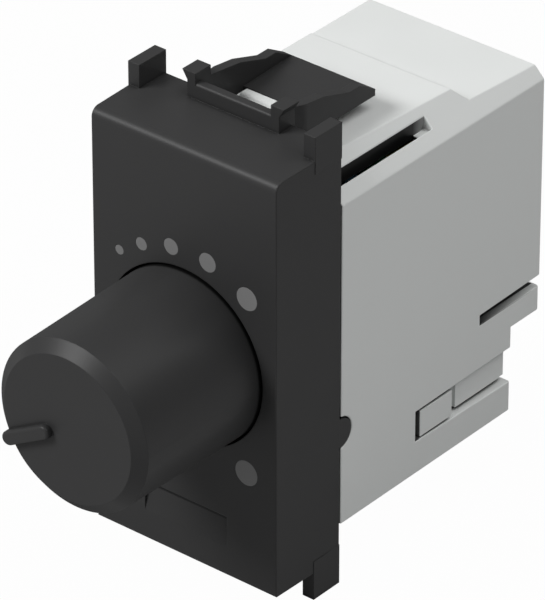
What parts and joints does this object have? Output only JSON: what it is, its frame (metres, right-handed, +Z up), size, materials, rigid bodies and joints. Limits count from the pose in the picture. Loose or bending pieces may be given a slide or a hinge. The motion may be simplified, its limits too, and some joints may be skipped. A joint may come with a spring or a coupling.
{
  "type": "rotary wall dimmer",
  "caption": "Narrow wall dimmer module: a round knob that turns and pushes, a scale of growing dots, a snap latch, a stepped grey housing and screw terminals at the rear.",
  "frame": {"origin": "where the knob's axis meets the front face of the cover", "axes": "+X to the right seen from the front, +Y into the wall along the knob's axis, +Z up"},
  "size_m": [0.0224, 0.0573, 0.051],
  "materials": {
    "cover_plastic": "fine matt moulded black",
    "dot_print": "matt grey print",
    "knob_plastic": "satin moulded black",
    "housing_plastic": "satin moulded light grey",
    "inner_plastic": "moulded",
    "steel": "zinc plated",
    "zinc": "die cast",
    "brass": "machined",
    "board": "green lacquer",
    "carbon": "printed carbon",
    "component_black": "moulded",
    "resistor_lacquer": "lacquer",
    "capacitor_case": "moulded",
    "ferrite": "painted",
    "copper": "enamelled wire",
    "aluminium": "plain sheet"
  },
  "bodies": {
    "module": {"front_cover": "cover_plastic", "scale_dots": "dot_print", "housing": "housing_plastic", "terminal_block": "housing_plastic", "terminal_pillars": "brass", "terminal_screws": "steel", "pot_bushing": "zinc", "pot_body": "inner_plastic", "track_plate": "board", "resistive_track": "carbon", "track_pins": "brass", "switch_contacts": "brass", "circuit_board": "board", "control_chip": "component_black", "fuse": "component_black", "electrolytic_capacitor": "component_black", "resistors": "resistor_lacquer", "film_capacitor": "capacitor_case", "choke_core": "ferrite", "choke_winding": "copper", "heat_sink": "aluminium", "triac": "component_black", "triac_screw": "steel", "return_spring": "steel"},
    "slider": {"push_slider": "inner_plastic", "contact_ring": "brass"},
    "knob": {"knob": "knob_plastic", "shaft": "steel", "shaft_clip": "steel"},
    "rotor": {"pot_rotor": "inner_plastic", "wiper": "brass"}
  },
  "joints": [
    {"name": "knob_push", "type": "slide", "parent": "module", "child": "slider", "axis": [0, 1, 0], "range_m": [0, 0.0015], "stiffness_N_per_m": 600, "springref_m": -0.002, "deforming": ["return_spring"]},
    {"name": "knob_turn", "type": "hinge", "parent": "slider", "child": "knob", "pos_m": [0, 0, 0], "axis": [0, 1, 0], "range_deg": [-24.3, 262.3]},
    {"name": "rotor_turn", "type": "hinge", "parent": "module", "child": "rotor", "pos_m": [0, 0, 0], "axis": [0, 1, 0], "range_deg": [-26, 264]}
  ],
  "couplings": [
    {"joint": "rotor_turn", "follows": "knob_turn", "ratio": 1}
  ]
}
